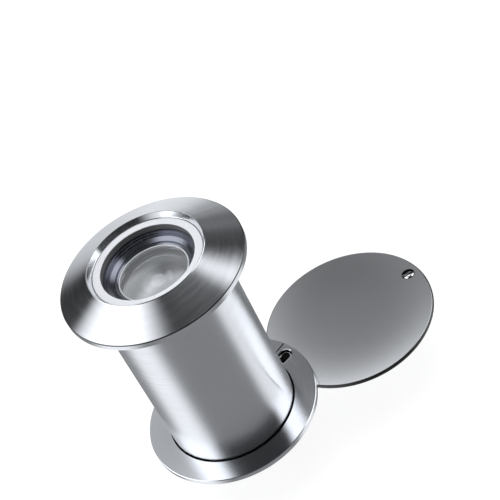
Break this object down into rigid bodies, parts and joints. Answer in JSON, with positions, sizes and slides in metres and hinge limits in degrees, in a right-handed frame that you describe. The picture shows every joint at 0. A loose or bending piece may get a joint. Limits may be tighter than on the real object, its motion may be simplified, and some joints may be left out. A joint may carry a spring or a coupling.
{
  "type": "door viewer",
  "caption": "Round wide-angle door viewer with a conical street flange, threaded barrel halves and a swivelling privacy cover.",
  "frame": {"origin": "on the barrel's axis, in the plane of the outer door face where the street flange seats", "axes": "+Z along the barrel towards the street, +X from the axis towards the cover's pivot"},
  "size_m": [0.0716, 0.0422, 0.053],
  "materials": {
    "satin_nickel": "satin, turned",
    "matt_ring": "matt blasted",
    "dark_anodised": "dark anodised",
    "black_plastic": "matt",
    "optical_glass": "polished",
    "seal_rubber": "matt",
    "cover_steel": "satin",
    "bright_steel": "polished"
  },
  "bodies": {
    "street_half": {"outer_body": "satin_nickel", "retaining_ring": "matt_ring", "baffle_cone": "dark_anodised", "front_seal": "seal_rubber", "front_lens": "optical_glass", "front_lens_cell": "dark_anodised", "objective_sleeve": "black_plastic", "middle_lens": "optical_glass", "objective_spacer": "black_plastic", "rear_objective_lens": "optical_glass"},
    "room_travel": {"eyepiece_lens": "optical_glass", "eyepiece_seal": "seal_rubber", "eyepiece_lock_ring": "dark_anodised", "field_stop": "black_plastic"},
    "room_half": {"inner_body": "satin_nickel", "pivot_clip": "bright_steel", "pivot_washer": "bright_steel"},
    "cover": {"cover_plate": "cover_steel", "pivot_rivet": "bright_steel", "finger_knob": "satin_nickel", "knob_screw": "bright_steel"}
  },
  "joints": [
    {"name": "thickness_adjust", "type": "slide", "parent": "street_half", "child": "room_travel", "axis": [0, 0, -1], "range_m": [0, 0.015]},
    {"name": "room_half_turn", "type": "hinge", "parent": "room_travel", "child": "room_half", "pos_m": [0, 0, -0.03], "axis": [0, 0, -1], "range_deg": [0, 3600]},
    {"name": "cover_swivel", "type": "hinge", "parent": "room_half", "child": "cover", "pos_m": [0.0166, 0, -0.0455], "axis": [0, 0, 1], "range_deg": [-168, 192]}
  ],
  "couplings": [
    {"joint": "room_half_turn", "follows": "thickness_adjust", "rad_per_m": 4188.8}
  ]
}
